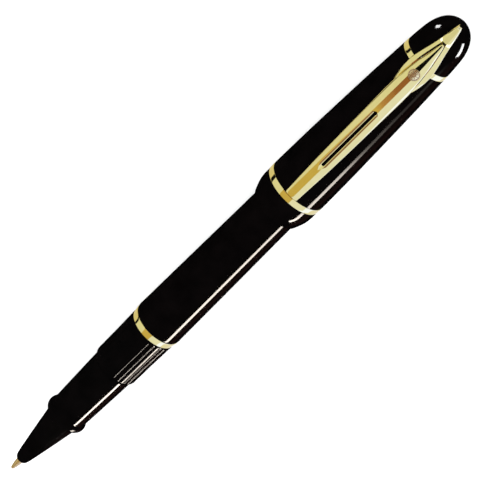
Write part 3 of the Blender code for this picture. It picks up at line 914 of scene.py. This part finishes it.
def glow(name, colour, strength, fade):
    """Light source material. fade lists (x, share of the strength) along the pen."""
    material = bpy.data.materials.new(name)
    material.use_nodes = True
    material.cycles.emission_sampling = "NONE"
    tree = material.node_tree
    tree.nodes.clear()
    emission = tree.nodes.new("ShaderNodeEmission")
    emission.inputs["Color"].default_value = (*colour, 1)
    emission.inputs["Strength"].default_value = strength
    clear = tree.nodes.new("ShaderNodeBsdfTransparent")
    both = tree.nodes.new("ShaderNodeAddShader")
    out = tree.nodes.new("ShaderNodeOutputMaterial")
    tree.links.new(emission.outputs[0], both.inputs[0])
    tree.links.new(clear.outputs[0], both.inputs[1])
    tree.links.new(both.outputs[0], out.inputs[0])
    if fade:
        place = tree.nodes.new("ShaderNodeTexCoord")
        split = tree.nodes.new("ShaderNodeSeparateXYZ")
        tree.links.new(place.outputs["Object"], split.inputs[0])
        curve = tree.nodes.new("ShaderNodeFloatCurve")
        low, high = fade[0][0], fade[-1][0]
        along_fade = spread(tree, split.outputs["X"], 0.0, 1.0, low, high)
        tree.links.new(along_fade, curve.inputs["Value"])
        points = curve.mapping.curves[0].points
        points[0].location = (0.0, fade[0][1])
        for x, share in fade[1:-1]:
            points.new((x - low) / (high - low), share)
        points[-1].location = (1.0, fade[-1][1])
        curve.mapping.update()
        scale = tree.nodes.new("ShaderNodeMath")
        scale.operation = "MULTIPLY"
        scale.inputs[1].default_value = strength
        tree.links.new(curve.outputs[0], scale.inputs[0])
        tree.links.new(scale.outputs[0], emission.inputs["Strength"])
    return material


# The gold, the black, the crown and the clip's head each have lights that only they reflect. Lights
# at one radius hide each other where they overlap, so each group has a radius of its own, in metres.
GOLD_RADIUS, BLACK_RADIUS, DOME_RADIUS, HEAD_RADIUS = 0.80, 0.78, 0.76, 0.74
# Every piece that isn't black counts as gold.
GOLD_PIECES = bpy.data.collections.new("lit_gold")
BLACK_PIECES = bpy.data.collections.new("lit_black")
for obj in list(bpy.data.objects):
    if obj.type == "MESH" and obj.data.materials:
        black = obj.data.materials[0] in (BLACK, GRIP)
        (BLACK_PIECES if black else GOLD_PIECES).objects.link(obj)
DOME_ONLY = bpy.data.collections.new("lit_dome")
DOME_ONLY.objects.link(crown)
HEAD_ONLY = bpy.data.collections.new("lit_head")
HEAD_ONLY.objects.link(head)


def light_shape(name, receivers, rows, radius, colour, strength, fade):
    """A curved light seen only in reflections. rows hold (x, angle round the pen) points."""
    bm = bmesh.new()
    made = []
    for row in rows:
        points = []
        for x, angle in row:
            a = math.radians(angle)
            offset = (ACROSS_UP * math.cos(a) + ACROSS_SIDE * math.sin(a)) * radius
            points.append(bm.verts.new(Vector((x, 0, AXIS_Z)) + offset))
        made.append(points)
    for a, b in zip(made, made[1:]):
        for i in range(len(a) - 1):
            bm.faces.new((a[i], a[i + 1], b[i + 1], b[i]))
    obj = add_mesh(name, bm)
    obj.data.materials.append(glow(name, colour, strength, fade))
    obj.visible_camera = False
    obj.visible_diffuse = False
    obj.visible_shadow = False
    obj.visible_transmission = False
    obj.light_linking.receiver_collection = receivers


# Steps round a panel, and along each side of a patch.
PANEL_STEPS, PATCH_STEPS = 24, 8


def panel(
    name, receivers, start, end, x_low, x_high, colour, strength=1.0, fade=(), radius=GOLD_RADIUS
):
    """start and end are angles round the pen, or tables of (x, angle) for a slanted edge."""
    stops = {x_low, x_high}
    for edge in (start, end):
        if isinstance(edge, tuple):
            stops |= {x for x, _ in edge if x_low < x < x_high}
    rows = []
    for i in range(PANEL_STEPS + 1):
        row = []
        for x in sorted(stops):
            low, high = (
                np.interp(x, *zip(*edge)) if isinstance(edge, tuple) else edge
                for edge in (start, end)
            )
            row.append((x, low + (high - low) * i / PANEL_STEPS))
        rows.append(row)
    light_shape(name, receivers, rows, radius, colour, strength, fade)


def patch(name, receivers, corners, colour, strength, radius):
    """A four-sided light between corners (x, angle), given round its edge."""
    a, b, c, d = (np.array(corner, float) for corner in corners)
    shares = [i / PATCH_STEPS for i in range(PATCH_STEPS + 1)]
    rows = []
    for u in shares:
        start, end = (1 - u) * a + u * d, (1 - u) * b + u * c
        rows.append([(1 - v) * start + v * end for v in shares])
    light_shape(name, receivers, rows, radius, colour, strength, ())


LEFT, RIGHT, WHITE = (0.80, 0.80, 0.68), (0.87, 0.91, 1.06), (1.10, 1.25, 2.3)
YELLOW, CREAM = (0.76, 0.68, 0.44), (0.87, 0.86, 0.93)
# The panels reach this far along the pen, both ways.
NEAR, FAR = -2.0, 12.0
# Angles between which the crest's own lights stand.
CREST_LOW, CREST_HIGH = -26, 20
# Edges of the dark gap and of the bright window, which stand stepwise along the pen.
GAP_HIGH = ((-0.47, -79.0), (-0.43, -80.0), (-0.20, -80.0), (-0.17, -75.0))
GAP_LOW = ((-0.47, -92.0), (-0.43, -97.0), (-0.20, -97.0), (-0.17, -90.6))
WINDOW_LOW = ((-0.42, 72.0), (-0.36, 80.0), (-0.17, 80.0))
WINDOW_HIGH = ((-0.42, 94.0), (-0.36, 107.0), (-0.23, 115.0), (-0.17, 130.0))
panel("pale_right", GOLD_PIECES, CREST_HIGH, WINDOW_LOW, NEAR, FAR, RIGHT)
panel("pale_left", GOLD_PIECES, GAP_HIGH, CREST_LOW, NEAR, FAR, LEFT)
panel("white_right", GOLD_PIECES, WINDOW_LOW, WINDOW_HIGH, NEAR, FAR, WHITE)
panel("cream_under", GOLD_PIECES, WINDOW_HIGH, 176, NEAR, FAR, CREAM)
panel("yellow_under", GOLD_PIECES, -176, GAP_LOW, NEAR, FAR, YELLOW)
# Seen along the clip's crest: ochre that deepens to brown, then a dark stretch.
for name, low, high, colour in (
    ("ochre_gap", NEAR, -0.243, (0.63, 0.47, 0.15)),
    ("tan_gap", -0.243, -0.232, (0.58, 0.38, 0.135)),
    ("brown_gap", -0.232, -0.219, (0.48, 0.25, 0.11)),
    ("umber_gap", -0.219, -0.08, (0.33, 0.13, 0.055)),
    ("pale_gap", 0.44, FAR, (0.74, 0.74, 0.66)),
):
    panel(name, GOLD_PIECES, CREST_LOW, CREST_HIGH, low, high, colour)
# The window's long reflection on the black pieces, and the dim reddish light under it.
STRIP_FADE = ((-1.2, 1.0), (-0.5, 1.0), (-0.40, 0.97), (-0.32, 0.78), (-0.292, 0.66))
STRIP_FADE += ((-0.275, 0.44), (-0.262, 0.28), (-0.248, 0.10), (-0.23, 0.04), (-0.19, 0.02))
STRIP_FADE += ((-0.10, 0.0),)
STRIP_COLOUR = (1.0, 0.90, 0.79)
SPILL_COLOUR = (0.5, 0.16, 0.12)
STRIP = (83, 95, -0.75, -0.10, STRIP_COLOUR, 100.0, STRIP_FADE, BLACK_RADIUS)
SPILL = (95, 128, -0.75, 0.1, SPILL_COLOUR, 0.35, (), BLACK_RADIUS)
panel("window_strip", BLACK_PIECES, *STRIP)
panel("window_spill", BLACK_PIECES, *SPILL)
# Corners of the four-sided lights on the crown and the clip's head.
DIAMOND = ((0.185, -83.5), (0.19, -97.0), (0.38, -87.0), (0.33, -75.0))
SLANT = ((-0.01, 96.0), (0.0, 110.0), (0.38, 108.0), (0.43, 93.0))
HEAD_LEFT = ((0.25, -78.0), (0.25, -33.0), (0.42, -33.0), (0.42, -78.0))
HEAD_RIGHT = ((0.22, 33.0), (0.22, 88.0), (0.46, 88.0), (0.46, 33.0))
patch("left_box", DOME_ONLY, DIAMOND, (1, 1, 1), 130.0, DOME_RADIUS)
patch("right_box", DOME_ONLY, SLANT, (1, 1, 1), 120.0, DOME_RADIUS)
patch("head_left", HEAD_ONLY, HEAD_LEFT, WHITE, 0.9, HEAD_RADIUS)
patch("head_right", HEAD_ONLY, HEAD_RIGHT, WHITE, 0.7, HEAD_RADIUS)

# Soft lamps: name, place, size and power. They light the floor and stay out of reflections.
for name, place, size, power in (
    ("overhead", (0.1, 0.0, 1.2), 1.6, 16.0),
    ("side_left", (-0.3, 1.1, 0.8), 1.0, 4.0),
    ("side_right", (0.3, -1.1, 0.8), 1.0, 4.0),
):
    data = bpy.data.lights.new(name, "AREA")
    data.shape = "SQUARE"
    data.size = size
    data.energy = power
    light = bpy.data.objects.new(name, data)
    bpy.context.scene.collection.objects.link(light)
    light.location = place
    light.rotation_euler = (Vector(place) * -1).to_track_quat("-Z", "Y").to_euler()
    light.visible_glossy = False

world = bpy.data.worlds.new("studio")
bpy.context.scene.world = world
world.use_nodes = True
tree = world.node_tree
ground = tree.nodes["Background"]
ground.inputs["Color"].default_value = (1, 1, 1, 1)
# The surroundings are white, but all but dark to what the pen reflects.
WORLD_LIGHT, WORLD_REFLECTED = 1.3, 0.004
path = tree.nodes.new("ShaderNodeLightPath")
level = tree.nodes.new("ShaderNodeMapRange")
level.inputs["To Min"].default_value = WORLD_LIGHT
level.inputs["To Max"].default_value = WORLD_REFLECTED
tree.links.new(path.outputs["Is Glossy Ray"], level.inputs["Value"])
tree.links.new(level.outputs["Result"], ground.inputs["Strength"])

bpy.context.scene.view_settings.view_transform = "Standard"
bpy.context.scene.view_settings.look = "None"
